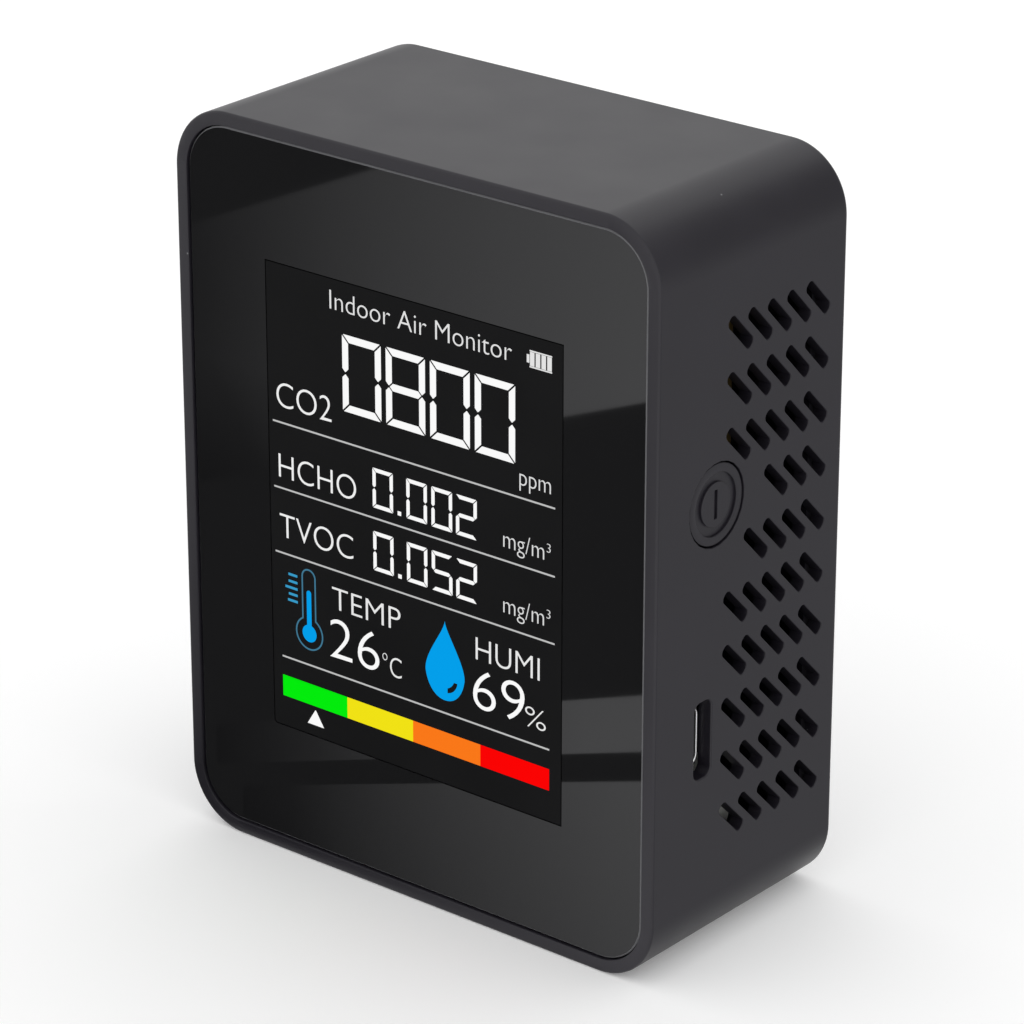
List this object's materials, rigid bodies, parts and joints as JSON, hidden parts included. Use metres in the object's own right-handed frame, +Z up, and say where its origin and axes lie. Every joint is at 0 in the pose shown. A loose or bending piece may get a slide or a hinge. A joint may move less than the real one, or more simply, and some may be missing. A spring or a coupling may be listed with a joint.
{
  "type": "carbon dioxide monitor",
  "caption": "Desk-top air monitor: upright black box with a glossy front panel and display, slanted side vents, a round power button and a charging slot.",
  "frame": {"origin": "middle of the underside", "axes": "+Z up, the front panel faces -Y, the button and charging slot are on +X"},
  "size_m": [0.0694, 0.034, 0.09],
  "materials": {
    "housing_plastic": "fine satin texture",
    "panel_gloss": "polished black",
    "foam_tape": "matte tape",
    "display_glass": "polished",
    "light_guide": "clear white",
    "tray_steel": "stamped steel",
    "white_plastic": "moulded",
    "flex_film": "amber film",
    "board_green": "solder mask",
    "board_blue": "solder mask",
    "black_plastic": "moulded",
    "bright_steel": "plated",
    "gold_chamber": "gold coated",
    "filter_white": "matte film",
    "cell_foil": "laminated foil",
    "lead_red": "insulation",
    "lead_black": "insulation"
  },
  "bodies": {
    "case": {"main_housing": "housing_plastic", "rear_cover": "housing_plastic", "front_panel": "panel_gloss", "panel_adhesive": "foam_tape", "battery_tape": "foam_tape", "display_glass": "display_glass", "light_guide": "light_guide", "display_tray": "tray_steel", "display_holder": "white_plastic", "display_flex": "flex_film", "flex_connector": "white_plastic", "main_board": "board_green", "co2_sensor_board": "board_blue", "controller_chip": "black_plastic", "charger_chip": "black_plastic", "power_inductor": "black_plastic", "humidity_sensor": "black_plastic", "crystal": "bright_steel", "socket_shell": "bright_steel", "socket_tongue": "black_plastic", "switch_body": "black_plastic", "co2_sensor_chamber": "gold_chamber", "co2_sensor_filter": "filter_white", "co2_sensor_header": "black_plastic", "formaldehyde_sensor": "white_plastic", "gas_sensor": "bright_steel", "battery_cell": "cell_foil", "battery_socket": "white_plastic", "battery_plug": "white_plastic", "battery_lead_red": "lead_red", "battery_lead_black": "lead_black", "board_screw_1": "bright_steel", "cover_screw_1": "bright_steel", "board_screw_2": "bright_steel", "cover_screw_2": "bright_steel", "board_screw_3": "bright_steel", "cover_screw_3": "bright_steel", "board_screw_4": "bright_steel", "cover_screw_4": "bright_steel"},
    "power_button": {"power_button": "housing_plastic"},
    "switch_plunger": {"switch_plunger": "white_plastic"}
  },
  "joints": [
    {"name": "power_button_press", "type": "slide", "parent": "case", "child": "power_button", "axis": [-1, 0, 0], "range_m": [0, 0.0005], "stiffness_N_per_m": 300},
    {"name": "switch_plunger_slide", "type": "slide", "parent": "case", "child": "switch_plunger", "axis": [-1, 0, 0], "range_m": [0, 0.0005], "stiffness_N_per_m": 20}
  ],
  "couplings": [
    {"joint": "switch_plunger_slide", "follows": "power_button_press", "ratio": 1}
  ]
}
